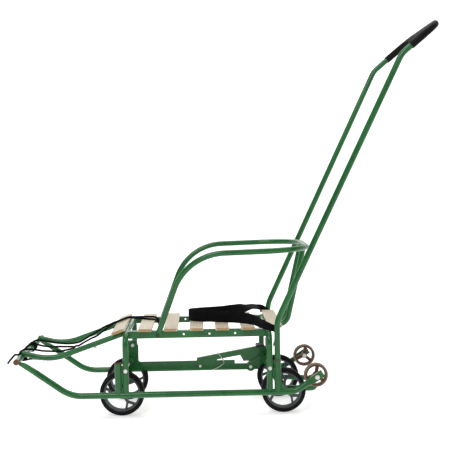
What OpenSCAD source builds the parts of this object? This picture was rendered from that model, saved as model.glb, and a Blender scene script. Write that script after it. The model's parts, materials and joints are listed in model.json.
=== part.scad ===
// Child's metal snow sledge with retractable road wheels, a reversible
// push handle, an armrest hoop, slatted seat, lap belt and pull rope.
// +X points to the rear (the handle end), +Z is up, -Y is the child's
// left. Z = 0 is the ground under the lowered road wheels. Millimetres.

/* [Frame] */
// Distance between the two runner centrelines
runner_gauge = 350; // [330:1:370]
// Height of the runner centreline above the ground
runner_z = 74; // [72:1:80]
// Outer diameter of the frame tube
tube_d = 16; // [15:0.5:16.5]
// Wall of the frame tube
tube_wall = 1.2; // [1:0.1:1.6]
// Outer diameter of the runner tube
runner_d = 17; // [16:0.5:18]
// Place of the front legs along the sledge
front_leg_x = -212.5; // [-220:0.5:-205]
// Place of the rear legs along the sledge
rear_leg_x = 180.5; // [176:0.5:186]
// Height of the legs' top bar
top_bar_z = 235; // [230:1:240]

/* [Seat] */
// Distance between the two side rails
rail_gauge = 280; // [270:1:290]
// Number of flat slats between the legs
seat_slats = 5; // [3:1:5]
// Spacing of the flat slats
slat_pitch = 71; // [66:1:72]
// Length of a slat, across the sledge
slat_len = 304; // [296:1:312]
// Width of a slat
slat_w = 38; // [34:1:42]
// Thickness of a slat
slat_t = 7.5; // [6:0.5:9]
// Height of the armrest above the ground at its front
armrest_z = 457; // [430:1:480]
// Distance between the two armrest tubes
armrest_gauge = 380; // [370:1:384]

/* [Handle] */
// Lean of the long part of the handle from the vertical
handle_lean = 25.5; // [20:0.5:28]
// Height of the handle's upper bend
handle_bend_z = 985; // [950:1:1020]
// Rise of the grip part from the horizontal
grip_rise = 40; // [30:0.5:45]
// Outer diameter of the soft grip
grip_d = 20; // [19:0.5:28]
// Radial clearance of the handle in its sockets
socket_clearance = 0.08; // [0.05:0.01:0.1]

/* [Road wheels] */
// Diameter of a road wheel
wheel_d = 125; // [120:1:126]
// Width of a road wheel's tyre
wheel_w = 24; // [20:1:26]
// Distance between the left and right wheels
wheel_gauge = 192; // [186:1:196]
// Diameter of a transport wheel
small_d = 66; // [60:1:68]
// Width of a transport wheel
small_w = 15; // [12:1:16]
// Distance between the transport wheels
small_gauge = 292; // [288:1:300]

/* [Retracting linkage] */
// Height of the two pivot rods through the legs
pivot_z = 141; // [140:1:142]
// Height of the link bar's section
bar_h = 25; // [22:1:26]
// Thickness of the link bar
bar_t = 6; // [5:0.5:6]

/* [Hidden] */
$fn = 48;

paint = "forestgreen";
zinc = "silver";
birch = "burlywood";
black = "dimgray";
rim_grey = "slategray";
small_brown = "sienna";

side_y = runner_gauge / 2;
rail_y = rail_gauge / 2;
tube_r = tube_d / 2;
runner_r = runner_d / 2;
bend_thinning = 0.1;
sides = [-1, 1];

// ---- bent tubes -------------------------------------------------------

function unit(v) = v / norm(v);
function turn_at(p, i) =
  acos(min(1, unit(p[i] - p[i - 1]) * unit(p[i + 1] - p[i])));
function trim_at(p, r, i) =
  (i == 0 || i == len(p) - 1) ? 0 : r[i - 1] * tan(turn_at(p, i) / 2);
function placed(e1, e2, e3, o) = [
  [e1.x, e2.x, e3.x, o.x], [e1.y, e2.y, e3.y, o.y],
  [e1.z, e2.z, e3.z, o.z], [0, 0, 0, 1]
];
function aim(v) = [0, acos(v.z / norm(v)), atan2(v.y, v.x)];

// A straight round bar from a to b
module straight(a, b, d) {
  translate(a)
    rotate(aim(b - a))
      cylinder(d = d, h = norm(b - a));
}

// The round corner of a bent bar at point i of path p: a hair thinner
// than the straight lengths and let half a millimetre into each of them
module corner(p, r, i, d) {
  u1 = unit(p[i] - p[i - 1]);
  u2 = unit(p[i + 1] - p[i]);
  inward = unit(u2 - (u2 * u1) * u1);
  centre = p[i] - trim_at(p, r, i) * u1 + r[i - 1] * inward;
  over = min(2, 30 / r[i - 1]);
  multmatrix(placed(-inward, u1, cross(-inward, u1), centre))
    rotate([0, 0, -over])
      rotate_extrude(angle = turn_at(p, i) + 2 * over)
        translate([r[i - 1], 0])
          circle(d = d - bend_thinning);
}

// A round bar along path p with a bend radius at each inner point
module bent_bar(p, r, d) {
  for (i = [0 : len(p) - 2]) {
    u = unit(p[i + 1] - p[i]);
    straight(p[i] + trim_at(p, r, i) * u, p[i + 1] - trim_at(p, r, i + 1) * u, d);
  }
  for (i = [1 : len(p) - 2])
    corner(p, r, i, d);
}

// The same path with both ends run on by e
function extended(p, e) = [
  for (i = [0 : len(p) - 1])
    i == 0 ? p[0] + e * unit(p[0] - p[1]) :
    i == len(p) - 1 ? p[i] + e * unit(p[i] - p[i - 1]) : p[i]
];

// A hollow bent tube with open ends
module bent_tube(p, r, d, wall) {
  difference() {
    bent_bar(p, r, d);
    bent_bar(extended(p, 1), r, d - 2 * wall);
  }
}

// A bar along Y, centred on Y = 0 unless y says otherwise
module along_y(x, z, d, length, y = 0) {
  translate([x, y + length / 2, z])
    rotate([90, 0, 0])
      cylinder(d = d, h = length);
}

// A plate in the XZ plane, its middle at height y across the sledge
module plate_y(y, thickness) {
  translate([0, y + thickness / 2, 0])
    rotate([90, 0, 0])
      linear_extrude(thickness)
        children();
}

// A disc at a point of a flat plate
module disc2(p, d) {
  translate(p)
    circle(d = d);
}

// ---- runners ----------------------------------------------------------

crossbar_x = -503;
crossbar_z = 175;
crossbar_len = 400;
runner_lip = [-497, 0, 166];
runner_front_x = -362;
runner_rear_x = 249;
small_axle_x = 310;
small_axle_z = 113;
runner_front_bend = 100;
runner_rear_bend = 60;
nose_x = -485;
nose_z = 161.5;
tail_flat_t = 8;
tail_flat_h = 20;
tail_lead = 16;
tail_run = 19;
nose_flat_h = 9;
tail_dir = unit([small_axle_x - runner_rear_x, 0, small_axle_z - runner_z]);
tail_round_end = [small_axle_x, 0, small_axle_z] - 34 * tail_dir;
tail_angle = atan2(tail_dir.z, tail_dir.x);
nose_round_start = [-458, 0, 142.1];

// The runner: a tube whose nose is pressed thin under the crossbar and
// whose tail is pressed flat to carry the transport wheel's bolt
module runner(side) {
  y = side * side_y;
  path = [nose_round_start, [runner_front_x, 0, runner_z],
    [runner_rear_x, 0, runner_z], tail_round_end];
  color(paint)
    translate([0, y, 0])
      difference() {
        union() {
          bent_bar(path, [runner_front_bend, runner_rear_bend], runner_d);
          runner_tail();
          runner_nose();
        }
        bent_bar(path, [runner_front_bend, runner_rear_bend],
          runner_d - 2 * tube_wall);
        along_y(small_axle_x, small_axle_z, 8, 40);
        along_y(crossbar_x, crossbar_z, tube_d, 60);
      }
}

// Pressed-flat tail: the round section runs into a flat one
module runner_tail() {
  hull() {
    translate(tail_round_end - 1.5 * tail_dir)
      rotate(aim(tail_dir))
        cylinder(d = runner_d - 0.6, h = 1, $fn = 32);
    translate(tail_round_end + 22 * tail_dir)
      rotate([0, -tail_angle, 0])
        cube([1, tail_flat_t - 0.4, tail_flat_h - 0.6], center = true);
  }
  translate([small_axle_x, 0, small_axle_z])
    rotate([0, -tail_angle, 0]) {
      translate([(tail_run - tail_lead) / 2, 0, 0])
        cube([tail_run + tail_lead, tail_flat_t, tail_flat_h], center = true);
    }
}

// Pressed nose: the tube gets lower as it turns to meet the crossbar
module runner_nose() {
  nose_dir = unit([runner_front_x - nose_round_start.x, 0,
    runner_z - nose_round_start.z]);
  hull() {
    translate(nose_round_start + 0.5 * nose_dir)
      rotate(aim(nose_dir))
        cylinder(d = runner_d - 0.6, h = 1, $fn = 32);
    translate([nose_x, 0, nose_z])
      rotate([90, 0, 0])
        cylinder(d = nose_flat_h, h = tube_d, center = true, $fn = 32);
    translate(runner_lip)
      rotate([90, 0, 0])
        cylinder(d = nose_flat_h - 2, h = tube_d, center = true, $fn = 32);
  }
}

module front_crossbar() {
  color(paint)
    difference() {
      along_y(crossbar_x, crossbar_z, tube_d, crossbar_len);
      along_y(crossbar_x, crossbar_z, tube_d - 2 * tube_wall, crossbar_len + 2);
    }
}

// Domed plastic plugs in the crossbar's open ends
module crossbar_plugs() {
  color(small_brown)
    for (side = sides) {
      along_y(crossbar_x, crossbar_z, tube_d - 2 * tube_wall, 12,
        side * (crossbar_len / 2 - 6));
      along_y(crossbar_x, crossbar_z, tube_d, 2,
        side * (crossbar_len / 2 + 1));
    }
}

// ---- legs, rails and footrest -----------------------------------------

hoop_bend = 30;
leg_foot_z = runner_z + runner_r - 2;
pivot_hole_d = 8.4;

function hoop_path(x) = [
  [x, -side_y, leg_foot_z], [x, -side_y, top_bar_z],
  [x, side_y, top_bar_z], [x, side_y, leg_foot_z]
];

// The runner's round body, used to cut the feet that stand on it
module runner_bodies() {
  for (side = sides)
    straight([runner_front_x + 40, side * side_y, runner_z],
      [runner_rear_x - 18, side * side_y, runner_z], runner_d);
}

// A leg hoop: two legs and the bar over them, bent from one tube
module leg_hoop(x) {
  color(paint)
    difference() {
      bent_tube(hoop_path(x), [hoop_bend, hoop_bend], tube_d, tube_wall);
      runner_bodies();
      along_y(x, pivot_z, pivot_hole_d, runner_gauge + 40);
    }
}

module top_bars() {
  for (x = [front_leg_x, rear_leg_x])
    along_y(x, top_bar_z, tube_d, runner_gauge - 2 * hoop_bend);
}

rail_t = 2;
rail_h = 20;
rail_top_z = top_bar_z + 7.5;
slat_first_x = -160;
rail_hole_d = 5.5;

function slat_x(i) = slat_first_x + slat_pitch * i;

// Side rail: an angle section between the two hoops, holed between slats
module seat_rail(side) {
  rail_len = rear_leg_x - front_leg_x;
  color(paint)
    difference() {
      union() {
        translate([front_leg_x, side * rail_y - rail_t / 2, rail_top_z - rail_h])
          cube([rail_len, rail_t, rail_h]);
        translate([front_leg_x, side * (rail_y - 9) - 10, rail_top_z - rail_t])
          cube([rail_len, 20, rail_t]);
      }
      top_bars();
      for (i = [0 : seat_slats - 2])
        along_y(slat_x(i) + slat_pitch / 2, rail_top_z - rail_h / 2,
          rail_hole_d, 10, side * rail_y);
      for (i = [0 : seat_slats - 1])
        translate([slat_x(i), side * (rail_y - 11), rail_top_z - 5])
          cylinder(d = screw_d + 0.6, h = 10);
    }
}

footrest_y = 128;
footrest_valley = [-420, 0, 166.5];
footrest_end = [-216, 0, 237.5];
footrest_slope = atan2(footrest_end.z - footrest_valley.z,
  footrest_end.x - footrest_valley.x);
footrest_path = [[crossbar_x + 2, 0, 186], footrest_valley, footrest_end];
footrest_bend = 150;
footrest_slat_x = -233.5;
footrest_slat_z = 239.45;
eye_x = -298.6;
eye_z = 199.2;
eye_stem_d = 4;

function footrest_at(side) =
  [for (q = footrest_path) [q.x, side * footrest_y, q.z]];

module footrest_tube(side) {
  color(paint)
    difference() {
      bent_tube(footrest_at(side), [footrest_bend], tube_d - 1, tube_wall);
      top_bars();
      along_y(crossbar_x, crossbar_z, tube_d, crossbar_len);
      footrest_screw_hole(side);
      if (side < 0)
        translate([eye_x, -footrest_y, eye_z - 5])
          cylinder(d = eye_stem_d + 0.1, h = 12);
    }
}

module footrest_screw_hole(side) {
  translate([footrest_slat_x, side * footrest_y, footrest_slat_z])
    rotate([0, -footrest_slope, 0])
      cylinder(d = screw_d + 0.6, h = 60, center = true);
}

// Small threaded eye screwed up into the left footrest tube
module footrest_eye() {
  color(zinc)
    translate([eye_x, -footrest_y, eye_z]) {
      translate([0, 0, -1])
        cylinder(d = eye_stem_d, h = 7);
      translate([0, 0, -2.5])
        cylinder(d = 2 * eye_stem_d, h = 2.5);
    }
}

// ---- handle sockets ---------------------------------------------------

handle_d = tube_d;
socket_id = handle_d + 2 * socket_clearance;
socket_od = socket_id + 2.4;
socket_top_z = 161;
collar_od = 21;
collar_id = handle_d + 0.8;
collar_h = 2;
front_socket_x = front_leg_x - 20.5;
rear_socket_x = rear_leg_x + 21.5;
socket_floor_z = runner_z + runner_r + 3;

module handle_socket(x, side) {
  difference() {
    translate([x, side * side_y, runner_z + 2])
      cylinder(d = socket_od, h = socket_top_z - runner_z - 2);
    translate([x, side * side_y, socket_floor_z])
      cylinder(d = socket_id, h = socket_top_z);
    runner_bodies();
  }
}

module front_handle_sockets() {
  color(paint)
    for (side = sides)
      handle_socket(front_socket_x, side);
}

module rear_handle_sockets() {
  color(paint)
    for (side = sides)
      handle_socket(rear_socket_x, side);
}

// Plastic collars that line the mouths of the four sockets
module socket_collars() {
  color(small_brown)
    for (side = sides)
      for (x = [front_socket_x, rear_socket_x])
        translate([x, side * side_y, socket_top_z])
          difference() {
            cylinder(d = collar_od, h = collar_h);
            translate([0, 0, -1])
              cylinder(d = collar_id, h = collar_h + 2);
          }
}

// Flat webs welded between each leg and its socket, and the triangular
// gussets behind the rear sockets
module socket_webs() {
  color(paint)
    for (side = sides) {
      web_between(front_socket_x, front_leg_x, side, 104, 134);
      web_between(rear_leg_x, rear_socket_x, side, 112, 134);
      runner_gusset(side);
    }
}

module web_between(x1, x2, side, z1, z2) {
  difference() {
    translate([x1, side * side_y - 1.5, z1])
      cube([x2 - x1, 3, z2 - z1]);
    for (x = [x1, x2])
      translate([x, side * side_y, 0])
        cylinder(d = (x == front_leg_x || x == rear_leg_x) ? tube_d : socket_od,
          h = top_bar_z);
  }
}

// Triangular gusset between a rear socket and its runner
module runner_gusset(side) {
  foot_x = rear_socket_x + 28;
  difference() {
    plate_y(side * side_y, 3)
      polygon([[rear_socket_x, 118], [foot_x, runner_z + 2],
        [rear_socket_x, runner_z + 2]]);
    translate([rear_socket_x, side * side_y, 0])
      cylinder(d = socket_od, h = top_bar_z);
    runner_bodies();
  }
}

// ---- slats ------------------------------------------------------------

screw_d = 4;
screw_head_d = 8;
slat_edge = 2;
back_slat_x = rear_leg_x + 19;
back_slat_z = 247.1;

// A birch slat with rounded long edges and eased corners, lying on z = 0
module slat(screw_y) {
  difference() {
    intersection() {
      translate([0, slat_len / 2, slat_t / 2])
        rotate([90, 0, 0])
          linear_extrude(slat_len)
            slat_section();
      linear_extrude(slat_t)
        slat_outline();
    }
    for (side = sides)
      translate([0, side * screw_y, -1]) {
        cylinder(d = screw_d + 0.4, h = slat_t + 2);
        translate([0, 0, slat_t - 1.2])
          cylinder(d = screw_head_d + 0.4, h = 4);
      }
  }
}

module slat_section() {
  half_w = slat_w / 2 - slat_edge;
  half_t = slat_t / 2 - slat_edge;
  square([slat_w, 2 * half_t], center = true);
  square([2 * half_w, slat_t], center = true);
  for (x = [-half_w, half_w])
    for (y = [-half_t, half_t])
      disc2([x, y], 2 * slat_edge);
}

module slat_outline() {
  corner_r = 5;
  half_x = slat_w / 2 - corner_r;
  half_y = slat_len / 2 - corner_r;
  square([slat_w, 2 * half_y], center = true);
  square([2 * half_x, slat_len], center = true);
  for (x = [-half_x, half_x])
    for (y = [-half_y, half_y])
      disc2([x, y], 2 * corner_r);
}

module place_footrest_slat() {
  translate([footrest_slat_x, 0, footrest_slat_z])
    rotate([0, -footrest_slope, 0])
      children();
}

module footrest_slat() {
  color(birch)
    place_footrest_slat()
      slat(footrest_y);
}

module seat_slat(i) {
  color(birch)
    translate([slat_x(i), 0, rail_top_z])
      slat(rail_y - 11);
}

module back_slat() {
  color(birch)
    translate([back_slat_x, 0, back_slat_z])
      slat(back_y);
}

// One countersunk slat screw, its head level with the slat's top
module slat_screw() {
  translate([0, 0, slat_t - 1.2])
    cylinder(d = screw_head_d, h = 1.2);
  translate([0, 0, -3])
    cylinder(d = screw_d, h = slat_t + 2);
}

module slat_screws() {
  color(zinc)
    for (side = sides) {
      place_footrest_slat()
        translate([0, side * footrest_y, 0])
          slat_screw();
      for (i = [0 : seat_slats - 1])
        translate([slat_x(i), side * (rail_y - 11), rail_top_z])
          slat_screw();
      translate([back_slat_x, side * back_y, back_slat_z])
        slat_screw();
    }
}

// ---- armrest and backrest ---------------------------------------------

armrest_foot_x = slat_x(0) + slat_pitch / 2;
armrest_foot_z = rail_top_z - rail_h / 2;
armrest_foot_y = rail_y + rail_t / 2 + tube_r - 2;
armrest_rise = 0.026;
armrest_top_x = -41.1;
armrest_rear_x = 297;
armrest_bend = 150;
armrest_corner = 128;
armrest_radii = [armrest_bend, armrest_corner, armrest_corner, armrest_bend];
hoop_half = armrest_gauge / 2;
shoulder_z = armrest_z + armrest_rise * armrest_top_x;

function armrest_path() = [
  [armrest_foot_x, -armrest_foot_y, armrest_foot_z],
  [armrest_top_x, -hoop_half, shoulder_z],
  [armrest_rear_x, -hoop_half, armrest_z + armrest_rise * armrest_rear_x],
  [armrest_rear_x, hoop_half, armrest_z + armrest_rise * armrest_rear_x],
  [armrest_top_x, hoop_half, shoulder_z],
  [armrest_foot_x, armrest_foot_y, armrest_foot_z]
];

module armrest_hoop() {
  color(paint)
    difference() {
      bent_tube(armrest_path(), armrest_radii, tube_d - 0.5, tube_wall);
      for (side = sides) {
        translate([armrest_foot_x, side * (rail_y + rail_t / 2 - 10), armrest_foot_z])
          cube([60, 20, 60], center = true);
        along_y(armrest_foot_x, armrest_foot_z, rail_hole_d, 60,
          side * armrest_foot_y);
      }
    }
}

back_y = 43;
back_run_z = 239.6;
back_lean_x = 240;
back_top_x = armrest_rear_x - 6;
back_top_z = armrest_z + armrest_rise * armrest_rear_x - 4;
back_tube_d = tube_d - 1;
back_bend = 30;

module backrest_tube(side) {
  y = side * back_y;
  color(paint)
    difference() {
      bent_tube([[rear_leg_x + 4, y, back_run_z], [back_lean_x, y, back_run_z],
        [back_top_x, y, back_top_z]], [back_bend], back_tube_d, tube_wall);
      top_bars();
      bent_bar(armrest_path(), armrest_radii, tube_d - 0.5);
      translate([back_slat_x, y, back_run_z])
        cylinder(d = screw_d + 0.6, h = 20);
    }
}

// Bolts that hold the armrest feet to the rails
module armrest_bolts() {
  head_y = armrest_foot_y + tube_r + 1.5;
  color(zinc)
    for (side = sides)
      along_bolt(armrest_foot_x, armrest_foot_z, side,
        rail_y - rail_t / 2 - 5, head_y, rail_hole_d, 10);
}

// A bolt across the sledge from y1 out to y2, with a head and a nut
module along_bolt(x, z, side, y1, y2, d, head_d) {
  along_y(x, z, d, y2 - y1, side * (y1 + y2) / 2);
  along_y(x, z, head_d, 3.2, side * (y2 + 1.6));
  translate([x, side * (y1 + 2.5), z])
    rotate([90, 0, 0])
      cylinder(d = head_d, h = 5, center = true, $fn = 6);
}

// ---- pivot rods -------------------------------------------------------

rod_d = 8;
rod_head_d = 10.5;
rod_head_t = 2;

// A rod across the two legs, its ends peened over into flat heads
module pivot_rod(x) {
  end_y = side_y + tube_r;
  color(zinc) {
    along_y(x, pivot_z, rod_d, 2 * end_y);
    for (side = sides)
      along_y(x, pivot_z, rod_head_d, rod_head_t, side * (end_y + rod_head_t / 2));
  }
}

// ---- carriers, axles and road wheels ----------------------------------

axle_z = wheel_d / 2;
front_axle_x = -230;
rear_axle_x = 224;
axle_d = 8;
sleeve_d = 16;
sleeve_bore = rod_d + 0.16;
sleeve_len = 150;
arm_t = 4;
arm_y = 66;
arm_w = 22;
clevis_y = 8;
clevis_t = 3;
crank_end_d = 26;
front_pin = [-205, 181];
rear_pin = [136.7, 111.5];
link_bolt_d = 8;
hub_end_y = wheel_gauge / 2 + 17;

// An arm plate from the pivot to the axle, with round ends
module arm_plate(pivot, axle) {
  hull() {
    disc2(pivot, arm_w + 2);
    disc2(axle, arm_w);
  }
}

// A sleeve with two wheel arms and a two-plate crank
module carrier_body(pivot_x, axle_x, pin) {
  difference() {
    union() {
      along_y(pivot_x, pivot_z, sleeve_d, sleeve_len);
      for (side = sides) {
        plate_y(side * arm_y, arm_t)
          arm_plate([pivot_x, pivot_z], [axle_x, axle_z]);
        plate_y(side * clevis_y, clevis_t)
          hull() {
            disc2([pivot_x, pivot_z], crank_end_d);
            disc2(pin, crank_end_d);
          }
      }
    }
    along_y(pivot_x, pivot_z, sleeve_bore, sleeve_len + 2);
    along_y(axle_x, axle_z, axle_d, sleeve_len);
    along_y(pin.x, pin.y, link_bolt_d, 40);
  }
}

module front_carrier() {
  color(paint)
    carrier_body(front_leg_x, front_axle_x, front_pin);
}

module rear_carrier() {
  color(paint)
    carrier_body(rear_leg_x, rear_axle_x, rear_pin);
}

// Axle rod with pressed-on caps outside the wheels
module axle(x) {
  color(zinc) {
    along_y(x, axle_z, axle_d, 2 * hub_end_y + 4);
    for (side = sides)
      along_y(x, axle_z, 16, 4, side * (hub_end_y + 2.5));
  }
}

foot_bar_d = 15;
foot_bar_x = 317;
foot_bar_y = 72;
foot_bar_z = 58;

// U-shaped foot bar welded behind the rear wheel arms
module rear_foot_bar() {
  y = foot_bar_y;
  start_x = rear_axle_x + 6;
  color(paint)
    difference() {
      bent_tube([[start_x, -y, axle_z], [foot_bar_x, -y, foot_bar_z],
        [foot_bar_x, y, foot_bar_z], [start_x, y, axle_z]],
        [22, 22], foot_bar_d, tube_wall);
      for (side = sides)
        plate_y(side * arm_y, arm_t)
          arm_plate([rear_leg_x, pivot_z], [rear_axle_x, axle_z]);
    }
}

tyre_t = 11;
rim_r = wheel_d / 2 - tyre_t;
hub_r = 13;
hub_bore = axle_d + 0.16;
rim_w = wheel_w - 3;

// The hard tyre: a ring with rounded shoulders and two tread grooves
module tyre(x, side) {
  color(black)
    translate([x, side * wheel_gauge / 2, axle_z])
      rotate([90, 0, 0])
        difference() {
          rotate_extrude()
            tyre_section();
          for (z = [-4, 4])
            translate([0, 0, z - 0.6])
              difference() {
                cylinder(r = wheel_d / 2 + 1, h = 1.2);
                translate([0, 0, -1])
                  cylinder(r = wheel_d / 2 - 1, h = 4);
              }
        }
}

module tyre_section() {
  shoulder = 4.5;
  half = wheel_w / 2;
  r = wheel_d / 2;
  translate([rim_r, -half + shoulder])
    square([tyre_t, wheel_w - 2 * shoulder]);
  translate([rim_r, -half])
    square([tyre_t - shoulder, wheel_w]);
  for (z = [-half + shoulder, half - shoulder])
    disc2([r - shoulder, z], 2 * shoulder);
}

// Moulded rim with a hub and three forked spokes
module wheel_rim(x, side, turn) {
  color(rim_grey)
    translate([x, side * wheel_gauge / 2, axle_z])
      rotate([90, turn, 0])
        difference() {
          union() {
            difference() {
              cylinder(r = rim_r - 0.05, h = rim_w, center = true);
              cylinder(r = rim_r - 5, h = rim_w + 2, center = true);
            }
            cylinder(r = hub_r, h = rim_w + 10, center = true);
            for (k = [0 : 2])
              rotate([0, 0, 120 * k])
                forked_spoke();
          }
          cylinder(d = hub_bore, h = 60, center = true);
        }
}

// One Y-shaped spoke: a stem that splits in two towards the rim
module forked_spoke() {
  fork_r = 29;
  linear_extrude(12, center = true) {
    translate([hub_r - 3, -3.5])
      square([fork_r - hub_r + 4, 7]);
    for (s = [-1, 1])
      translate([fork_r, 0])
        rotate(s * 42)
          translate([-2, -3])
            square([22.5, 6]);
  }
}

// ---- transport wheels -------------------------------------------------

small_y = small_gauge / 2;
small_tyre_t = 4;
small_rim_r = small_d / 2 - small_tyre_t;
small_bore = 8.16;
small_spoke_w = 9;

module transport_rim(side) {
  color(small_brown)
    translate([small_axle_x, side * small_y, small_axle_z])
      rotate([90, 40, 0])
        difference() {
          union() {
            difference() {
              cylinder(r = small_rim_r - 0.05, h = small_w - 2, center = true);
              cylinder(r = small_rim_r - 4.5, h = small_w, center = true);
            }
            cylinder(r = 8.5, h = small_w + 1, center = true);
            for (k = [0 : 2])
              rotate([0, 0, 120 * k])
                translate([5, -small_spoke_w / 2, -4])
                  cube([small_rim_r - 8, small_spoke_w, 8]);
          }
          cylinder(d = small_bore, h = 40, center = true);
        }
}

module transport_tyre(side) {
  r = small_d / 2;
  color("tan")
    translate([small_axle_x, side * small_y, small_axle_z])
      rotate([90, 0, 0])
        rotate_extrude() {
          translate([small_rim_r, -small_w / 2 + 1.5])
            square([small_tyre_t, small_w - 3]);
          translate([small_rim_r, -small_w / 2])
            square([small_tyre_t - 1.5, small_w]);
          for (z = [-small_w / 2 + 1.5, small_w / 2 - 1.5])
            disc2([r - 1.5, z], 3);
        }
}

// Shoulder bolts through the runner tails, with spacer and lock nut
module transport_bolts() {
  inner_y = small_y - small_w / 2 - 1;
  outer_y = side_y + tail_flat_t / 2;
  color(zinc)
    for (side = sides) {
      along_y(small_axle_x, small_axle_z, 8, outer_y - inner_y + 7,
        side * ((outer_y + inner_y) / 2 - 3.5));
      translate([small_axle_x, side * (outer_y + 2.7), small_axle_z])
        rotate([90, 0, 0])
          cylinder(d = 14, h = 5.4, center = true, $fn = 6);
      translate([small_axle_x, side * (inner_y - 3), small_axle_z])
        rotate([90, 0, 0])
          cylinder(d = 14, h = 6, center = true, $fn = 6);
      spacer_in = small_y + small_w / 2 + 1;
      spacer_out = side_y - tail_flat_t / 2;
      along_y(small_axle_x, small_axle_z, 13, spacer_out - spacer_in,
        side * (spacer_out + spacer_in) / 2);
    }
}

// ---- link bar and lock lever ------------------------------------------

bar_z = 118.5;
bar_front_x = -214;
bar_rear_x = 91;
lever_pin = [-9.9, 115.8];
lever_bolt_d = 6;
slot_w = 9.2;
slot_wall = 4;
slot_run = [[0, 0], [3, 4], [4.4, 5.5], [4.1, 4.7], [1.9, 1.6], [-2.3, -3.5],
  [-8.4, -10.2]];
riser_x = -203;
riser_w = 14;

// Link bar: a flat bar with a riser plate at the front and a step down
module link_bar() {
  color(paint)
    plate_y(0, bar_t)
      difference() {
        union() {
          translate([bar_front_x, bar_z - bar_h / 2])
            square([bar_rear_x - bar_front_x, bar_h]);
          bar_riser();
          hull() {
            disc2(rear_pin, 18);
            translate([bar_rear_x - 11, rear_pin.y - 9])
              square([10, 18]);
          }
        }
        disc2(rear_pin, link_bolt_d + 0.16);
        disc2(lever_pin, lever_bolt_d + 0.16);
        front_slot(slot_w);
      }
}

// The riser: a neck up from the bar and a round plate for the window
module bar_riser() {
  translate([riser_x, bar_z])
    square([riser_w, front_pin.y - bar_z]);
  front_slot(slot_w + 2 * slot_wall);
}

// The window in which the front crank's bolt shifts as the wheels fold
module front_slot(d) {
  hull()
    for (q = slot_run)
      disc2(front_pin + q, d);
}

link_head_d = 9.5;
link_head_t = 2.5;

// Bolt through a crank's two plates, with a flat head on each side
module link_bolt(pin) {
  plate_out = clevis_y + clevis_t / 2;
  color(zinc) {
    along_y(pin.x, pin.y, link_bolt_d, 2 * plate_out);
    for (side = sides)
      along_y(pin.x, pin.y, link_head_d, link_head_t,
        side * (plate_out + link_head_t / 2));
  }
}

lever_in = bar_t / 2 + 0.5;
cheek_t = 2;
lever_slope = 10;

// Lock lever: a channel over the bar whose rear cheeks ride on the rear
// sleeve and stop the bar from sliding back
module lock_lever() {
  color(paint)
    difference() {
      union() {
        for (side = sides)
          plate_y(side * (lever_in + cheek_t / 2), cheek_t)
            cheek_outline();
        lever_roof();
      }
      along_y(lever_pin.x, lever_pin.y, lever_bolt_d + 0.16, 40);
    }
}

function roof_z(x) = 139.5 + (x + 20) * tan(lever_slope);

module cheek_outline() {
  polygon([[-20, roof_z(-20)], [-20, 106], [4, 106], [40, 134],
    [107, 145.5], [116, 128], [154, 128], [174.2, 147.6], [178, 150.2],
    [200, 151], [200, 165], [172, 170], [150, roof_z(150)]]);
}

module lever_roof() {
  roof_len = 172 / cos(lever_slope);
  translate([-20, -lever_in - cheek_t, roof_z(-20) - 2])
    rotate([0, -lever_slope, 0])
      cube([roof_len, 2 * (lever_in + cheek_t), 2]);
}

module lever_bolt() {
  half = lever_in + cheek_t;
  color(zinc) {
    along_y(lever_pin.x, lever_pin.y, lever_bolt_d, 2 * half + 2);
    for (side = sides)
      along_y(lever_pin.x, lever_pin.y, 7.5, 2.5, side * (half + 1.55));
  }
}

// Moulded pedal on top of the lever's rear end
module lever_pedal() {
  pedal_len = 25;
  pedal_w = 44;
  color(black)
    translate([153, 0, roof_z(152) + 0.3])
      hull() {
        translate([0, -pedal_w / 2, 0])
          cube([pedal_len, pedal_w, 3.5]);
        translate([2, 2 - pedal_w / 2, 0])
          cube([pedal_len - 4, pedal_w - 4, 6]);
      }
}

spring_top_z = 151.9;
spring_low_z = 104.8;

// Spring wire hooked over the lever and under the bar
module lever_spring() {
  wire_d = 2;
  y = -(lever_in + cheek_t + 1.6);
  color(zinc)
    bent_bar([[43, -y, spring_top_z], [43, y, spring_top_z], [60, y, 124],
      [28, y, spring_low_z], [28, -y, spring_low_z]], [1.2, 4, 4, 1.2], wire_d);
}

// ---- handle -----------------------------------------------------------

handle_foot_z = socket_floor_z + 1;
handle_low_z = 268.8;
handle_lean_x = rear_socket_x + tan(handle_lean) * (handle_bend_z - handle_low_z);
grip_len = 137;
grip_dir = [cos(grip_rise), 0, sin(grip_rise)];
handle_splay = 24;
handle_top_y = side_y + handle_splay;
handle_low_bend = 90;
handle_up_bend = 62;
handle_corner = 68;
// Where the sleeve starts on the left and on the right, from the bend
grip_start = [33, 53];

function handle_path() = [
  [rear_socket_x, -side_y, handle_foot_z],
  [rear_socket_x, -side_y, handle_low_z],
  [handle_lean_x, -handle_top_y, handle_bend_z],
  [handle_lean_x, -handle_top_y, handle_bend_z] + grip_len * grip_dir,
  [handle_lean_x, handle_top_y, handle_bend_z] + grip_len * grip_dir,
  [handle_lean_x, handle_top_y, handle_bend_z],
  [rear_socket_x, side_y, handle_low_z],
  [rear_socket_x, side_y, handle_foot_z]
];

module handle_tube() {
  color(paint)
    bent_tube(handle_path(), [handle_low_bend, handle_up_bend, handle_corner,
      handle_corner, handle_up_bend, handle_low_bend], handle_d, tube_wall);
}

// Soft sleeve along the top of the handle, round both corners
module handle_grip() {
  top = [handle_lean_x, 0, handle_bend_z];
  path = [
    top + [0, -handle_top_y, 0] + grip_start[0] * grip_dir,
    top + [0, -handle_top_y, 0] + grip_len * grip_dir,
    top + [0, handle_top_y, 0] + grip_len * grip_dir,
    top + [0, handle_top_y, 0] + grip_start[1] * grip_dir
  ];
  color(black)
    difference() {
      bent_bar(path, [handle_corner, handle_corner], grip_d);
      bent_bar(extended(path, 1), [handle_corner, handle_corner], handle_d);
    }
}

// ---- belt -------------------------------------------------------------

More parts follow.
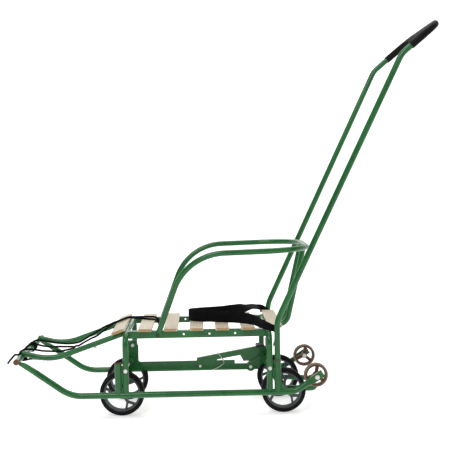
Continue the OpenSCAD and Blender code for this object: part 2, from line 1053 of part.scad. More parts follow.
belt_h = 36;
belt_t = 3;
belt_z = rail_top_z + slat_t + 0.4;

// Plan of the belt's loop: from the left upright forward, round the
// buckle end and back to the right upright
belt_plan = [[174, -104], [120, -92], [60, -66], [10, -40], [-24, -22],
  [-36, -4], [-24, 14], [10, 30], [60, 52], [120, 86], [160, 106]];

function tangent(p, i) =
  unit(p[min(i + 1, len(p) - 1)] - p[max(i - 1, 0)]);
function side_of(p, i, w) = p[i] + w * [-tangent(p, i).y, tangent(p, i).x];
function ribbon(p, w) = concat(
  [for (i = [0 : len(p) - 1]) side_of(p, i, w / 2)],
  [for (i = [len(p) - 1 : -1 : 0]) side_of(p, i, -w / 2)]
);

module belt_webbing() {
  color(black)
    translate([0, 0, belt_z])
      linear_extrude(belt_h)
        polygon(ribbon(belt_plan, belt_t));
}

module belt_buckle() {
  color(black)
    translate([-44.5, -4, belt_z])
      linear_extrude(belt_h + 4)
        difference() {
          square([12, 40], center = true);
          translate([5, 0])
            square([8, 30], center = true);
        }
}

// ---- pull rope --------------------------------------------------------

rope_d = 5;
rope_sides = 8;
rope_step = 4.4 * rope_d;

// The rope's route: over the front slats and back, once round the
// crossbar near its left end, and back to the second knot
rope_route = [
  [-503, 50, 188], [-490, 50, 192], [-473, 47, 190.5], [-446, 42, 187], [-425, 40, 183.5],
  [-404, 38, 182], [-386, 37, 182.5], [-366, 36, 186], [-350, 36, 194], [-334, 38, 203],
  [-312, 38, 216], [-295, 38, 227], [-275, 38, 236], [-260, 38, 242.5], [-245, 38, 247.5],
  [-228, 38, 254], [-216, 40, 257], [-198, 48, 255.5], [-180, 60, 254], [-162, 66, 253],
  [-146, 62, 253], [-135, 56, 249], [-131, 50, 240], [-129, 43, 230], [-127, 33, 225],
  [-126, 23, 229], [-128, 16, 238], [-134, 12, 249], [-144, 12, 253], [-158, 18, 253],
  [-178, 26, 254], [-198, 28, 255.5], [-216, 28, 257], [-228, 27, 254], [-245, 25, 247.5],
  [-258, 20, 243], [-280, 10, 230], [-308, 0, 210], [-322, -20, 206], [-340, -45, 199],
  [-352, -65, 194], [-358, -85, 196], [-362, -105, 194], [-364, -112, 187],
  [-367, -115, 178], [-377, -115, 173], [-401, -114, 167], [-422, -112, 164],
  [-441, -110, 164], [-468, -108, 166.5], [-484, -106, 166], [-500, -103, 162.5],
  [-512, -97, 166], [-516, -91, 175.5], [-512, -85, 184.5], [-503, -80, 188],
  [-489, -72, 187], [-470, -64, 183], [-455, -62, 180], [-430, -60, 178], [-410, -58, 177],
  [-395, -56, 179], [-381, -50, 181], [-373, -41, 182], [-370, -30, 182.5],
  [-374, -19, 182.5], [-386, -8, 181], [-403, -1, 180], [-419, 3, 180], [-441, 8, 179],
  [-462, 14, 180], [-479, 20, 182.5], [-492, 25, 186], [-503, 28, 188]
];

// The rope's loose end beyond the left knot
rope_tail = [[-514, -104, 178], [-525, -103, 178], [-534, -108, 169], [-545, -112, 155]];
rope_wraps = [-109, -104, 28, 39, 50];

function spline_point(a, b, c, d, t) = 0.5 * ((2 * b) + (c - a) * t
  + (2 * a - 5 * b + 4 * c - d) * t * t
  + (3 * b - a - 3 * c + d) * t * t * t);
function pick(p, i) = p[max(0, min(len(p) - 1, i))];
function smooth(p) = [
  for (i = [0 : len(p) - 2])
    let (n = max(1, round(norm(p[i + 1] - p[i]) / rope_step)))
      for (k = [0 : n - 1])
        spline_point(pick(p, i - 1), p[i], p[i + 1], pick(p, i + 2), k / n),
  p[len(p) - 1]
];

function ring_at(p, i, r) =
  let (u = unit(pick(p, i + 1) - pick(p, i - 1)),
    s = unit(cross(u, [0, 0, 1])), v = cross(s, u))
    [for (k = [0 : rope_sides - 1])
      p[i] + r * (cos(360 * k / rope_sides) * s + sin(360 * k / rope_sides) * v)];

// A closed round tube swept along the points p
module swept_tube(p, d) {
  n = len(p);
  m = rope_sides;
  points = [for (i = [0 : n - 1]) each ring_at(p, i, d / 2)];
  walls = [for (i = [0 : n - 2]) for (k = [0 : m - 1])
    [i * m + k, i * m + (k + 1) % m, (i + 1) * m + (k + 1) % m, (i + 1) * m + k]];
  polyhedron(points, concat(walls,
    [[for (k = [m - 1 : -1 : 0]) k]],
    [[for (k = [0 : m - 1]) (n - 1) * m + k]]));
}

module pull_rope() {
  color(black)
    swept_tube(smooth(rope_route), rope_d);
}

// The wraps of rope round the crossbar, and the loose end
module rope_knots() {
  color(black) {
    for (y = rope_wraps)
      translate([crossbar_x, y, crossbar_z])
        rotate([90, 0, 0])
          rotate_extrude()
            translate([tube_r + rope_d / 2, 0])
              circle(d = rope_d);
    swept_tube(smooth(rope_tail), rope_d);
  }
}

// ---- the assembly -----------------------------------------------------

// Everything above is measured from a point between the road wheels; the
// part's own frame has X = 0 halfway between crossbar and grip
grip_tip_x = handle_lean_x + grip_len * grip_dir.x + grip_d / 2;
crossbar_front_x = crossbar_x - tube_r;
middle_x = (grip_tip_x + crossbar_front_x) / 2;

module on_middle() {
  translate([-middle_x, 0, 0])
    children();
}

on_middle() runner(-1);  // left_runner
on_middle() runner(1);  // right_runner
on_middle() front_crossbar();
on_middle() crossbar_plugs();
on_middle() leg_hoop(front_leg_x);  // front_leg_hoop
on_middle() leg_hoop(rear_leg_x);  // rear_leg_hoop
on_middle() seat_rail(-1);  // left_seat_rail
on_middle() seat_rail(1);  // right_seat_rail
on_middle() footrest_tube(-1);  // left_footrest_tube
on_middle() footrest_tube(1);  // right_footrest_tube
on_middle() front_handle_sockets();
on_middle() rear_handle_sockets();
on_middle() socket_webs();
on_middle() socket_collars();
on_middle() footrest_slat();
on_middle() seat_slat(0);  // seat_slat_1
on_middle() seat_slat(1);  // seat_slat_2
on_middle() seat_slat(2);  // seat_slat_3
on_middle() seat_slat(3);  // seat_slat_4
on_middle() seat_slat(4);  // seat_slat_5
on_middle() back_slat();
on_middle() slat_screws();
on_middle() armrest_hoop();
on_middle() backrest_tube(-1);  // left_backrest_tube
on_middle() backrest_tube(1);  // right_backrest_tube
on_middle() armrest_bolts();
on_middle() pivot_rod(front_leg_x);  // front_pivot_rod
on_middle() pivot_rod(rear_leg_x);  // rear_pivot_rod
on_middle() footrest_eye();
on_middle() front_carrier();
on_middle() axle(front_axle_x);  // front_axle
on_middle() rear_carrier();
on_middle() rear_foot_bar();
on_middle() axle(rear_axle_x);  // rear_axle
on_middle() wheel_rim(front_axle_x, -1, 60);  // wheel_rim_front_left
on_middle() wheel_rim(front_axle_x, 1, 15);  // wheel_rim_front_right
on_middle() wheel_rim(rear_axle_x, -1, 40);  // wheel_rim_rear_left
on_middle() wheel_rim(rear_axle_x, 1, 80);  // wheel_rim_rear_right
on_middle() tyre(front_axle_x, -1);  // tyre_front_left
on_middle() tyre(front_axle_x, 1);  // tyre_front_right
on_middle() tyre(rear_axle_x, -1);  // tyre_rear_left
on_middle() tyre(rear_axle_x, 1);  // tyre_rear_right
on_middle() transport_bolts();
on_middle() transport_rim(-1);  // transport_rim_left
on_middle() transport_rim(1);  // transport_rim_right
on_middle() transport_tyre(-1);  // transport_tyre_left
on_middle() transport_tyre(1);  // transport_tyre_right
on_middle() link_bar();
on_middle() link_bolt(rear_pin);  // rear_link_bolt
on_middle() link_bolt(front_pin);  // front_link_bolt
on_middle() lock_lever();
on_middle() lever_bolt();
on_middle() lever_pedal();
on_middle() lever_spring();
on_middle() handle_tube();
on_middle() handle_grip();
on_middle() belt_webbing();
on_middle() belt_buckle();
on_middle() pull_rope();
on_middle() rope_knots();
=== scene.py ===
"""Looks of the wheeled sledge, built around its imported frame. Metres, +X to the rear, +Z up."""

import json
import math

import bpy
from mathutils import Matrix, Vector


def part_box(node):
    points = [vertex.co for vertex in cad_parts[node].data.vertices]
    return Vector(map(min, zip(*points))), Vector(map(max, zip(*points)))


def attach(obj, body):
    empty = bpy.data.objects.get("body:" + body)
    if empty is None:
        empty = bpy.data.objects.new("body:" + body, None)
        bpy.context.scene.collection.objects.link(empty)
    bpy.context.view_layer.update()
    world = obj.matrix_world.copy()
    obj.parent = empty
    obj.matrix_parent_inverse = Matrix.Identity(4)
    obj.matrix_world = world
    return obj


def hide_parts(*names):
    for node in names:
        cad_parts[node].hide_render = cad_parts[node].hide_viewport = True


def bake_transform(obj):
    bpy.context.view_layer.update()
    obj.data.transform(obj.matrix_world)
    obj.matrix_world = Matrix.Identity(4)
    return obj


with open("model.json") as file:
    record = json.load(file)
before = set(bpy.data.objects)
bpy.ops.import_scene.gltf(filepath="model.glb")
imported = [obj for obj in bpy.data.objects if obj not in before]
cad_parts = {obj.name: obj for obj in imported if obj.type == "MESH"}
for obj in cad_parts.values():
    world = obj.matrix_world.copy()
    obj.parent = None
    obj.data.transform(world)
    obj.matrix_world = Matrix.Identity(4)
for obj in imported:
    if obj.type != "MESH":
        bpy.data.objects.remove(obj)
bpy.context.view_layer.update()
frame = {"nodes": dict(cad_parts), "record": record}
nodes = frame["nodes"]

MM = 0.001


def middle(node):
    low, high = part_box(node)
    return (low + high) / 2


# Design X is measured from a point between the road wheels; the crossbar sits at -503 in it
SHIFT = middle("front_crossbar").x / MM + 503


def at(x, y, z):
    """A point given in design millimetres, as a point of the frame in metres."""
    return Vector(((x + SHIFT) * MM, y * MM, z * MM))


# ---- camera -------------------------------------------------------------

CAMERA_AT = (0, -2662.66, 649.98)
CAMERA_YAW, CAMERA_PITCH, CAMERA_ROLL = 1.4812, -2.6792, -0.9267
CAMERA_LENS, CAMERA_SENSOR = 73.55, 36


def make_camera():
    """The camera at the child's left, looking along +Y. Place in design millimetres, turns in degrees."""
    data = bpy.data.cameras.new("camera")
    cam = bpy.data.objects.new("camera", data)
    bpy.context.scene.collection.objects.link(cam)
    yaw, pitch, roll = (math.radians(a) for a in (CAMERA_YAW, CAMERA_PITCH, CAMERA_ROLL))
    forward = Vector((math.sin(yaw) * math.cos(pitch), math.cos(yaw) * math.cos(pitch), math.sin(pitch)))
    right = Vector((math.cos(yaw), -math.sin(yaw), 0))
    up = right.cross(forward)
    turned_right = right * math.cos(roll) + up * math.sin(roll)
    turned_up = up * math.cos(roll) - right * math.sin(roll)
    axes = Matrix((turned_right, turned_up, -forward)).transposed()
    cam.matrix_world = Matrix.Translation(at(*CAMERA_AT)) @ axes.to_4x4()
    data.sensor_width = CAMERA_SENSOR
    data.lens = CAMERA_LENS
    data.clip_end = 50
    bpy.context.scene.camera = cam


make_camera()

# ---- materials ----------------------------------------------------------


class Shader:
    """A small helper that adds nodes to one material."""

    def __init__(self, name, rough=0.5, metallic=0.0, **fixed):
        self.mat = bpy.data.materials.new(name)
        self.mat.use_nodes = True
        self.tree = self.mat.node_tree
        self.bsdf = self.tree.nodes["Principled BSDF"]
        self.bsdf.inputs["Roughness"].default_value = rough
        self.bsdf.inputs["Metallic"].default_value = metallic
        for key, value in fixed.items():
            self.bsdf.inputs[key.replace("_", " ")].default_value = value
        self.coords = self.add("ShaderNodeTexCoord")
        self.height = None

    def add(self, kind, **settings):
        node = self.tree.nodes.new(kind)
        for key, value in settings.items():
            setattr(node, key, value)
        return node

    def join(self, source, target):
        self.tree.links.new(source, target)

    def mapped(self, scale, space="Object", turn=(0, 0, 0)):
        node = self.add("ShaderNodeMapping")
        node.inputs["Scale"].default_value = scale
        node.inputs["Rotation"].default_value = turn
        self.join(self.coords.outputs[space], node.inputs["Vector"])
        return node.outputs["Vector"]

    def noise(self, vector, scale, detail=4.0, distortion=0.0):
        node = self.add("ShaderNodeTexNoise")
        node.inputs["Scale"].default_value = scale
        node.inputs["Detail"].default_value = detail
        node.inputs["Distortion"].default_value = distortion
        self.join(vector, node.inputs["Vector"])
        return node.outputs["Fac"]

    def cells(self, vector, scale):
        node = self.add("ShaderNodeTexVoronoi")
        node.inputs["Scale"].default_value = scale
        self.join(vector, node.inputs["Vector"])
        return node.outputs["Distance"]

    def wave(self, vector, scale, distortion=0.0, direction="X", detail=2.0):
        node = self.add("ShaderNodeTexWave", bands_direction=direction)
        node.inputs["Scale"].default_value = scale
        node.inputs["Distortion"].default_value = distortion
        node.inputs["Detail"].default_value = detail
        self.join(vector, node.inputs["Vector"])
        return node.outputs["Fac"]

    def ramp(self, value, *stops):
        node = self.add("ShaderNodeValToRGB")
        points = node.color_ramp.elements
        while len(points) < len(stops):
            points.new(0.5)
        for point, (place, colour) in zip(points, stops):
            point.position = place
            point.color = (*colour, 1)
        self.join(value, node.inputs["Fac"])
        return node.outputs["Color"]

    def span(self, value, low, high):
        node = self.add("ShaderNodeMapRange")
        node.inputs["To Min"].default_value = low
        node.inputs["To Max"].default_value = high
        self.join(value, node.inputs["Value"])
        return node.outputs["Result"]

    def maths(self, operation, a, b):
        node = self.add("ShaderNodeMath", operation=operation)
        for socket, value in zip(node.inputs, (a, b)):
            if isinstance(value, (int, float)):
                socket.default_value = value
            else:
                self.join(value, socket)
        return node.outputs["Value"]

    def mix(self, factor, a, b):
        node = self.add("ShaderNodeMix", data_type="RGBA")
        self.join(factor, node.inputs["Factor"])
        for socket, value in ((node.inputs[6], a), (node.inputs[7], b)):
            if isinstance(value, tuple):
                socket.default_value = (*value, 1)
            else:
                self.join(value, socket)
        return node.outputs[2]

    def colour(self, value):
        self.join(value, self.bsdf.inputs["Base Color"])

    def rough(self, value, low, high):
        self.join(self.span(value, low, high), self.bsdf.inputs["Roughness"])

    def bump(self, value, strength, depth_mm):
        node = self.add("ShaderNodeBump")
        node.inputs["Strength"].default_value = strength
        node.inputs["Distance"].default_value = depth_mm * MM
        self.join(value, node.inputs["Height"])
        if self.height:
            self.join(self.height, node.inputs["Normal"])
        self.height = node.outputs["Normal"]
        self.join(self.height, self.bsdf.inputs["Normal"])


PAINT_DARK = (0.004, 0.082, 0.015)
PAINT_LIGHT = (0.012, 0.130, 0.027)
BARE_STEEL = (0.35, 0.34, 0.32)
SCUFF_TOP = 66.6 * MM


def enamel(name, coat_rough, scuffed=False):
    """Glossy green paint. Where it is scuffed, bare steel shows in streaks below SCUFF_TOP."""
    s = Shader(name, Specular_IOR_Level=0.28, Coat_Weight=0.25, Coat_Roughness=coat_rough)
    v = s.mapped((1, 1, 1))
    blotch = s.noise(v, 14, 5)
    green = s.ramp(blotch, (0.3, PAINT_DARK), (0.7, PAINT_LIGHT))
    if scuffed:
        split = s.add("ShaderNodeSeparateXYZ")
        s.join(s.coords.outputs["Object"], split.inputs["Vector"])
        low = s.maths("LESS_THAN", split.outputs["Z"], SCUFF_TOP)
        streak = s.noise(s.mapped((6, 60, 60)), 6, 6)
        bare = s.maths("MULTIPLY", low, s.maths("GREATER_THAN", streak, 0.52))
        green = s.mix(bare, green, BARE_STEEL)
    s.colour(green)
    s.rough(blotch, 0.22, 0.34)
    s.bump(s.noise(v, 420, 3), 0.25, 0.12)
    return s.mat


SLAT_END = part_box("seat_slat_1")[1].y
END_GRAIN_DEEP = 0.4 * MM


def birch():
    """Planed birch with its grain along the slat, and darker end grain."""
    s = Shader("birch", Coat_Weight=0.12, Coat_Roughness=0.35)
    along = s.mapped((1, 0.09, 1))
    figure = s.noise(along, 34, 6, 0.6)
    rings = s.wave(s.mapped((1, 0.05, 0.6)), 38, 5.5, "X", 3)
    fibres = s.noise(s.mapped((1, 0.03, 1)), 620, 4)
    mixed = s.maths("ADD", s.maths("MULTIPLY", rings, 0.3), s.maths("MULTIPLY", figure, 0.7))
    face = s.ramp(mixed, (0.25, (0.55, 0.45, 0.32)), (0.5, (0.59, 0.50, 0.37)), (0.8, (0.63, 0.55, 0.42)))
    fleck = s.maths("GREATER_THAN", s.noise(s.mapped((1, 0.12, 1)), 240, 2), 0.68)
    planed = s.mix(s.maths("MULTIPLY", fleck, 0.18), face, (0.42, 0.30, 0.18))
    split = s.add("ShaderNodeSeparateXYZ")
    s.join(s.coords.outputs["Object"], split.inputs["Vector"])
    reach = s.maths("ABSOLUTE", split.outputs["Y"], 0)
    pores = s.noise(s.mapped((1, 1, 1)), 300, 4)
    end_grain = s.ramp(pores, (0.3, (0.30, 0.19, 0.08)), (0.7, (0.42, 0.28, 0.13)))
    at_end = s.maths("GREATER_THAN", reach, SLAT_END - END_GRAIN_DEEP)
    s.colour(s.mix(at_end, planed, end_grain))
    s.rough(fibres, 0.42, 0.62)
    s.bump(fibres, 0.35, 0.18)
    s.bump(rings, 0.12, 0.15)
    return s.mat


def zinc():
    s = Shader("zinc_plate", metallic=1.0)
    v = s.mapped((1, 1, 1))
    spangle = s.cells(v, 240)
    s.colour(s.ramp(s.noise(v, 60, 4), (0.3, (0.50, 0.49, 0.46)), (0.7, (0.68, 0.67, 0.64))))
    s.rough(spangle, 0.26, 0.46)
    s.bump(s.noise(v, 900, 2), 0.2, 0.05)
    return s.mat


def moulded(name, dark, light, low, high, grain=1400, depth=0.05):
    """Moulded plastic or rubber with a fine grain."""
    s = Shader(name, Specular_IOR_Level=0.25)
    v = s.mapped((1, 1, 1))
    cloud = s.noise(v, 30, 5)
    s.colour(s.ramp(cloud, (0.3, dark), (0.72, light)))
    s.rough(cloud, low, high)
    s.bump(s.noise(v, grain, 3), 0.4, depth)
    return s.mat


def tyre_rubber():
    s = Shader("tyre_rubber", Specular_IOR_Level=0.1)
    v = s.mapped((1, 1, 1))
    dust = s.noise(v, 45, 6)
    s.colour(s.ramp(dust, (0.35, (0.004, 0.004, 0.004)), (0.75, (0.012, 0.013, 0.012))))
    s.rough(dust, 0.5, 0.75)
    s.bump(s.noise(v, 1300, 3), 0.45, 0.06)
    s.bump(s.cells(v, 700), 0.15, 0.05)
    return s.mat


def foam():
    """Closed-cell foam sleeve with a skin of fine pores."""
    s = Shader("foam_grip", Specular_IOR_Level=0.12)
    v = s.mapped((1, 1, 1))
    s.colour(s.ramp(s.noise(v, 40, 5), (0.3, (0.003, 0.003, 0.003)), (0.75, (0.006, 0.006, 0.006))))
    pores = s.cells(v, 900)
    s.rough(pores, 0.42, 0.66)
    s.bump(pores, 0.35, 0.12)
    return s.mat


def webbing():
    """Flat polypropylene webbing: ribs across, warp lines along. UVs are in millimetres."""
    s = Shader("webbing", Specular_IOR_Level=0.05, Sheen_Weight=0.01, Sheen_Roughness=0.4)
    warp = s.wave(s.mapped((1, 1, 1), "UV"), 0.33, 0.0, "Y", 0)
    weft = s.wave(s.mapped((1, 1, 1), "UV"), 0.24, 0.0, "X", 0)
    twill = s.wave(s.mapped((1, 1, 1), "UV", (0, 0, math.radians(38))), 0.3, 0.4, "X", 1)
    ribs = s.maths("MULTIPLY", weft, twill)
    weave = s.maths("ADD", s.maths("MULTIPLY", warp, 0.4), s.maths("MULTIPLY", ribs, 0.6))
    s.colour(s.ramp(weave, (0.15, (0.002, 0.002, 0.002)), (0.85, (0.011, 0.011, 0.012))))
    s.rough(weave, 0.55, 0.8)
    s.bump(weave, 0.6, 0.35)
    return s.mat


def cord_fibre():
    s = Shader("cord_fibre", Specular_IOR_Level=0.05, Sheen_Weight=0.01, Sheen_Roughness=0.5)
    v = s.mapped((1, 1, 1))
    fuzz = s.noise(v, 1700, 3)
    s.colour(s.ramp(fuzz, (0.3, (0.002, 0.002, 0.002)), (0.75, (0.012, 0.012, 0.013))))
    s.rough(fuzz, 0.7, 0.9)
    s.bump(fuzz, 0.5, 0.15)
    return s.mat


LOOKS = {
    "green_paint": enamel("green_paint", 0.08),
    "birch": birch(),
    "zinc": zinc(),
    "road_tyre": tyre_rubber(),
    "small_tyre": moulded("small_tyre", (0.16, 0.12, 0.085), (0.30, 0.23, 0.165), 0.45, 0.65),
    "rim_plastic": moulded("rim_plastic", (0.050, 0.060, 0.066), (0.082, 0.094, 0.102), 0.4, 0.58),
    "brown_plastic": moulded("brown_plastic", (0.085, 0.038, 0.018), (0.140, 0.066, 0.030), 0.35, 0.55),
    "foam": foam(),
    "black_plastic": moulded("black_plastic", (0.010, 0.010, 0.011), (0.022, 0.022, 0.023), 0.35, 0.55),
    "webbing": webbing(),
    "cord": cord_fibre(),
    "pale_wire": moulded("pale_wire", (0.55, 0.55, 0.52), (0.70, 0.70, 0.66), 0.3, 0.5),
}


def dress(obj, look):
    """Gives an object one material: a name in LOOKS, or a material."""
    obj.data.materials.clear()
    obj.data.materials.append(LOOKS[look] if isinstance(look, str) else look)


slots = {row["node"]: row["material_slot"] for row in frame["record"]["subparts"]}
for name, obj in nodes.items():
    dress(obj, slots[name])
runner_paint = enamel("runner_paint", 0.1, scuffed=True)
for name in ("left_runner", "right_runner"):
    dress(nodes[name], runner_paint)
dress(nodes["armrest_bolts"], moulded("bolt_paint", (0.020, 0.034, 0.026), (0.040, 0.060, 0.048), 0.3, 0.5))


# ---- mesh helpers -------------------------------------------------------


def new_piece(name, verts, faces, look, body, uvs=None):
    """A mesh piece that rides on body, or on none when no body is given."""
    mesh = bpy.data.meshes.new(name)
    mesh.from_pydata([tuple(v) for v in verts], [], faces)
    mesh.validate()
    if uvs:
        layer = mesh.uv_layers.new(name="UVMap")
        for loop in mesh.loops:
            layer.data[loop.index].uv = uvs[loop.vertex_index]
    for poly in mesh.polygons:
        poly.use_smooth = True
    obj = bpy.data.objects.new(name, mesh)
    bpy.context.scene.collection.objects.link(obj)
    dress(obj, look)
    if body:
        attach(obj, body)
    return obj


def catmull(points, step):
    """Points about step apart along a smooth curve through the given points."""
    out = []
    last = len(points) - 1
    for i in range(last):
        a, b, c, d = (points[max(0, min(last, k))] for k in (i - 1, i, i + 1, i + 2))
        count = max(1, round((c - b).length / step))
        for k in range(count):
            t = k / count
            out.append(0.5 * ((2 * b) + (c - a) * t + (2 * a - 5 * b + 4 * c - d) * t * t
                              + (3 * b - a - 3 * c + d) * t ** 3))
    out.append(points[-1])
    return out


def swept(points, radius, sides, twist_mm=0.0, strands=0, depth=0.0):
    """Verts and faces of a closed tube along points; strands carve a laid rope's grooves."""
    verts, faces, normal, run = [], [], None, 0.0
    for i, p in enumerate(points):
        ahead = points[min(i + 1, len(points) - 1)] - points[max(i - 1, 0)]
        tangent = ahead.normalized()
        if normal is None:
            normal = tangent.orthogonal().normalized()
        normal = (normal - tangent * normal.dot(tangent)).normalized()
        other = tangent.cross(normal)
        if i:
            run += (p - points[i - 1]).length
        for k in range(sides):
            angle = 2 * math.pi * k / sides
            r = radius
            if strands:
                phase = strands * angle + 2 * math.pi * run / (twist_mm * MM)
                r = radius * (1 - depth * (0.5 - 0.5 * math.cos(phase)) ** 2)
            verts.append(p + r * (math.cos(angle) * normal + math.sin(angle) * other))
    for i in range(len(points) - 1):
        for k in range(sides):
            n = (k + 1) % sides
            faces.append((i * sides + k, i * sides + n, (i + 1) * sides + n, (i + 1) * sides + k))
    end = (len(points) - 1) * sides
    faces.append(tuple(range(sides))[::-1])
    faces.append(tuple(end + k for k in range(sides)))
    return verts, faces


# ---- the pull rope ------------------------------------------------------

# The rope's own radius
ROPE_R = 2.9
ROPE_ROUTE = [
    (-503, 50, 188), (-490, 50, 192), (-473, 47, 190.5), (-446, 42, 187), (-425, 40, 183.5),
    (-404, 38, 182), (-386, 37, 182.5), (-366, 36, 186), (-350, 36, 194), (-334, 38, 203),
    (-312, 38, 216), (-295, 38, 227), (-275, 38, 236), (-260, 38, 242.5), (-245, 38, 247.5),
    (-228, 38, 254), (-216, 40, 257), (-198, 48, 255.5), (-180, 60, 254), (-162, 66, 253),
    (-146, 62, 253), (-135, 56, 249), (-131, 50, 240), (-129, 43, 230), (-127, 33, 225),
    (-126, 23, 229), (-128, 16, 238), (-134, 12, 249), (-144, 12, 253), (-158, 18, 253),
    (-178, 26, 254), (-198, 28, 255.5), (-216, 28, 257), (-228, 27, 254), (-245, 25, 247.5),
    (-258, 20, 243), (-280, 10, 230), (-308, 0, 210), (-322, -20, 206), (-340, -45, 199),
    (-352, -65, 194), (-358, -85, 196), (-362, -105, 194), (-364, -112, 187), (-367, -115, 178),
    (-377, -115, 173), (-401, -114, 167), (-422, -112, 164), (-441, -110, 164), (-468, -108, 166.5),
    (-484, -106, 166), (-500, -103, 162.5), (-512, -97, 166), (-516, -91, 175.5), (-512, -85, 184.5),
    (-503, -80, 188), (-489, -72, 187), (-470, -64, 183), (-455, -62, 180), (-430, -60, 178),
    (-410, -58, 177), (-395, -56, 179), (-381, -50, 181), (-373, -41, 182), (-370, -30, 182.5),
    (-374, -19, 182.5), (-386, -8, 181), (-403, -1, 180), (-419, 3, 180), (-441, 8, 179),
    (-462, 14, 180), (-479, 20, 182.5), (-492, 25, 186), (-503, 28, 188),
]
ROPE_TAIL = [(-513, -106, 177), (-525, -103, 178), (-534, -108, 169), (-545, -112, 155)]
ROPE_STEP = 3 * MM
# The front crossbar's middle line and radius
BAR_X, BAR_Z, BAR_R = -503, 175, 8


def laid(line):
    """Verts and faces of three-strand rope along a line."""
    return swept(line, ROPE_R * MM, 16, twist_mm=12, strands=3, depth=0.1)


def make_rope():
    """The free rope between its two knots, and the line that it follows."""
    route = catmull([at(*p) for p in ROPE_ROUTE], ROPE_STEP)
    verts, faces = laid(route)
    rope = new_piece("rope", verts, faces, "cord", "frame")
    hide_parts("pull_rope")
    return rope, route


def wrapped(y_from, y_to, turns, start):
    """Points of a helix round the crossbar, start in degrees."""
    radius = BAR_R + ROPE_R + 0.1
    count = max(24, abs(round(turns * 28)))
    points = []
    for k in range(count + 1):
        t = k / count
        angle = math.radians(start) + 2 * math.pi * turns * t
        y = y_from + (y_to - y_from) * t
        points.append(at(BAR_X + radius * math.cos(angle), y, BAR_Z + radius * math.sin(angle)))
    return points


def make_wraps():
    """The wraps at both knots, the strand along the bar between them and the loose end, as one piece."""
    verts, faces = [], []
    lines = (wrapped(-117, -101, 3.1, 180), wrapped(-101, 24, -0.25, 200), wrapped(24, 54, 4.6, 90),
             catmull([at(*p) for p in ROPE_TAIL], ROPE_STEP))
    for line in lines:
        v, f = laid(line)
        faces += [tuple(i + len(verts) for i in face) for face in f]
        verts += v
    wraps = new_piece("rope_wraps", verts, faces, "cord", "frame")
    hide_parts("rope_knots")
    return wraps


rope, rope_line = make_rope()
make_wraps()

# ---- the lap belt -------------------------------------------------------

# Middle of the webbing, the direction of its width and half its width, from the right end to the left tail
BELT = [
    ((204, 160, 245), (0.1, -0.2, 0.97), 10), ((187, 157, 255), (0.1, -0.3, 0.9), 11),
    ((168, 140, 266), (-0.4, 0.5, 0.45), 13), ((142, 102, 272), (-0.55, 0.72, 0.36), 15),
    ((106, 74, 269.5), (-0.3, 0.45, 0.85), 16), ((62, 52, 267), (0, 0.05, 1), 16.2),
    ((12, 31, 266.9), (0, 0, 1), 16.2), ((-24, 15, 266.9), (0, 0, 1), 16.2),
    ((-38.5, -4, 266.9), (0, 0, 1), 16.2), ((-24, -23, 266.9), (0, 0, 1), 16.2),
    ((12, -41, 266.9), (0, 0, 1), 16.2),
    ((60, -66, 267.5), (0, 0.03, 1), 16.2), ((98, -83, 268), (0.03, 0.1, 0.98), 16.4),
    ((132, -101, 265), (0.25, 0.4, 0.85), 15), ((152, -120, 259.5), (0.5, 0.45, 0.6), 13),
    ((168, -144, 255), (0.4, 0.4, 0.75), 12), ((186, -158.5, 249.5), (0.05, 0.2, 0.97), 9.5),
    ((198, -160, 245), (0, 0.15, 0.98), 9), ((205, -158, 237), (-0.5, 0.3, 0.6), 8.5),
    ((203, -154, 226), (-0.4, 0.9, 0.1), 8.5), ((196, -152, 212), (0.25, 0.95, 0), 8.5),
    ((194, -151, 197), (0.3, 0.95, 0), 8.5),
]
# The webbing's thickness, its faces across, and the keeper band's offset and thickness
BELT_T = 1.6
BELT_STEPS = 8
BELT_STEP = 3.5 * MM
KEEPER_OUT, KEEPER_T = 2.2, 1.4


def ribbon(name, rows, offset, thickness):
    """A band of webbing along rows, standing offset to its outer side, with a selvedge on each edge."""
    centre = catmull([at(*row[0]) for row in rows], BELT_STEP)
    widths, halves = [], []
    for a, b in zip(rows, rows[1:]):
        count = max(1, round((at(*b[0]) - at(*a[0])).length / BELT_STEP))
        for k in range(count):
            t = k / count
            t = t * t * (3 - 2 * t)
            widths.append(Vector(a[1]).lerp(Vector(b[1]), t))
            halves.append(a[2] + (b[2] - a[2]) * t)
    widths.append(Vector(rows[-1][1]))
    halves.append(rows[-1][2])
    verts, uvs, faces, run = [], [], [], 0.0
    ring = 2 * (BELT_STEPS + 1)
    for i, p in enumerate(centre):
        tangent = (centre[min(i + 1, len(centre) - 1)] - centre[max(i - 1, 0)]).normalized()
        across = (widths[i] - tangent * widths[i].dot(tangent)).normalized()
        out = tangent.cross(across)
        if i:
            run += (p - centre[i - 1]).length / MM
        for side in (1, -1):
            for k in range(BELT_STEPS + 1):
                u = (2 * k / BELT_STEPS - 1) * side
                thick = thickness / 2 * (0.45 if abs(u) == 1 else 1.18 if abs(u) > 0.7 else 1)
                cup = 0 if offset else 0.8 * u * u * math.sin(run / 31)
                verts.append(p + across * (u * halves[i] * MM) + out * ((side * thick + cup + offset) * MM))
                uvs.append((run, u * halves[i]))
    for i in range(len(centre) - 1):
        for k in range(ring):
            n = (k + 1) % ring
            faces.append((i * ring + k, i * ring + n, (i + 1) * ring + n, (i + 1) * ring + k))
    faces.append(tuple(range(ring))[::-1])
    faces.append(tuple((len(centre) - 1) * ring + k for k in range(ring)))
    return new_piece(name, verts, faces, "webbing", "frame", uvs)


def make_belt():
    """The belt, and the sewn keeper band that lies over its turn."""
    belt = ribbon("belt", BELT, 0, BELT_T)
    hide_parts("belt_webbing")
    turn = [row for row in BELT if row[0][0] < 20 and abs(row[0][1]) < 45]
    keeper = ribbon("belt_keeper", turn, KEEPER_OUT, KEEPER_T)
    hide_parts("belt_buckle")


make_belt()

# ---- the lever's spring -------------------------------------------------


WIRE_Y = 7.1
WIRE_R = 0.8


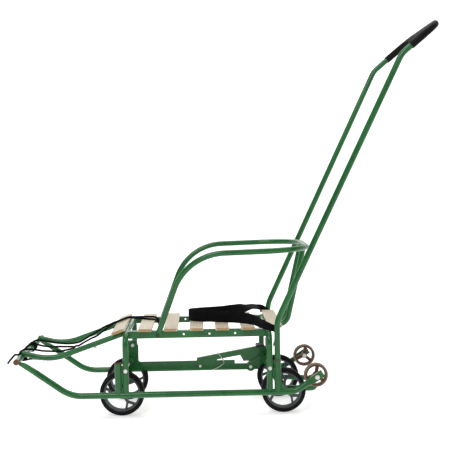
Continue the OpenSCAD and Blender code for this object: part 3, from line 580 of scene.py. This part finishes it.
def make_spring():
    """A thin wire loop that ties the lever to the bar."""
    y = WIRE_Y
    near = [(60, -y, 124), (51, -y, 142), (43, -y, 151.9), (43, 0, 152.6), (43, y, 151.9)]
    far = [(51, y, 142), (60, y, 124), (46, y, 113), (28, y, 104.8)]
    back = [(28, 0, 104.2), (28, -y, 104.8), (46, -y, 113), (58, -y, 122)]
    path = catmull([at(*p) for p in near + far + back], 2 * MM)
    verts, faces = swept(path, WIRE_R * MM, 10)
    spring = new_piece("spring", verts, faces, "pale_wire", None)
    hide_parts("lever_spring")
    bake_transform(spring)


make_spring()

# ---- studio -------------------------------------------------------------


FLOOR_REACH = 30.0
FLOOR_DROP = 0.0004
BACKDROP_Y, BACKDROP_BEND, BACKDROP_TOP = 3.2, 1.5, 6.0
FLOOR_GLOW = 0.5
WORLD_LIGHT = 0.22
# Name, place, the point it faces, size in metres and power in watts
LIGHTS = (
    ("key", (-1.2, -2.6, 3.4), (0, 0, 0.3), 1.8, 88),
    ("fill", (2.8, -2.0, 1.8), (0, 0, 0.4), 2.2, 10),
    ("back", (0.4, 1.2, 3.6), (0, 1.4, 0), 3.0, 60),
)


def make_floor():
    """A pale floor that curves up into a backdrop."""
    bend = [math.radians(k * 7.5) for k in range(1, 13)]
    profile = [(-FLOOR_REACH, 0.0), (BACKDROP_Y, 0.0)]
    profile += [(BACKDROP_Y + BACKDROP_BEND * math.sin(a), BACKDROP_BEND * (1 - math.cos(a))) for a in bend]
    profile.append((BACKDROP_Y + BACKDROP_BEND, BACKDROP_TOP))
    verts = [(x, y, z - FLOOR_DROP) for x in (-FLOOR_REACH, FLOOR_REACH) for y, z in profile]
    n = len(profile)
    mesh = bpy.data.meshes.new("floor")
    mesh.from_pydata(verts, [], [(i, i + 1, n + i + 1, n + i) for i in range(n - 1)])
    for poly in mesh.polygons:
        poly.use_smooth = True
    floor = bpy.data.objects.new("floor", mesh)
    bpy.context.scene.collection.objects.link(floor)
    s = Shader("floor_paper", rough=0.9)
    cloud = s.noise(s.mapped((1, 1, 1)), 3, 3)
    s.colour(s.ramp(cloud, (0.3, (0.90, 0.90, 0.90)), (0.7, (0.93, 0.93, 0.93))))
    s.bsdf.inputs["Emission Color"].default_value = (1, 1, 1, 1)
    s.bsdf.inputs["Emission Strength"].default_value = FLOOR_GLOW
    floor.data.materials.append(s.mat)


def make_studio():
    """A soft key light, a weak fill, a light on the backdrop and an even white surround."""
    world = bpy.data.worlds.new("studio")
    world.use_nodes = True
    background = world.node_tree.nodes["Background"]
    background.inputs["Color"].default_value = (1, 1, 1, 1)
    background.inputs["Strength"].default_value = WORLD_LIGHT
    bpy.context.scene.world = world
    bpy.context.scene.view_settings.view_transform = "Standard"
    for name, place, aim, size, power in LIGHTS:
        light = bpy.data.lights.new(name, "AREA")
        light.shape = "SQUARE"
        light.size = size
        light.energy = power
        obj = bpy.data.objects.new(name, light)
        bpy.context.scene.collection.objects.link(obj)
        obj.location = place
        obj.rotation_mode = "QUATERNION"
        obj.rotation_quaternion = (Vector(aim) - Vector(place)).to_track_quat("-Z", "Y")


make_floor()
make_studio()
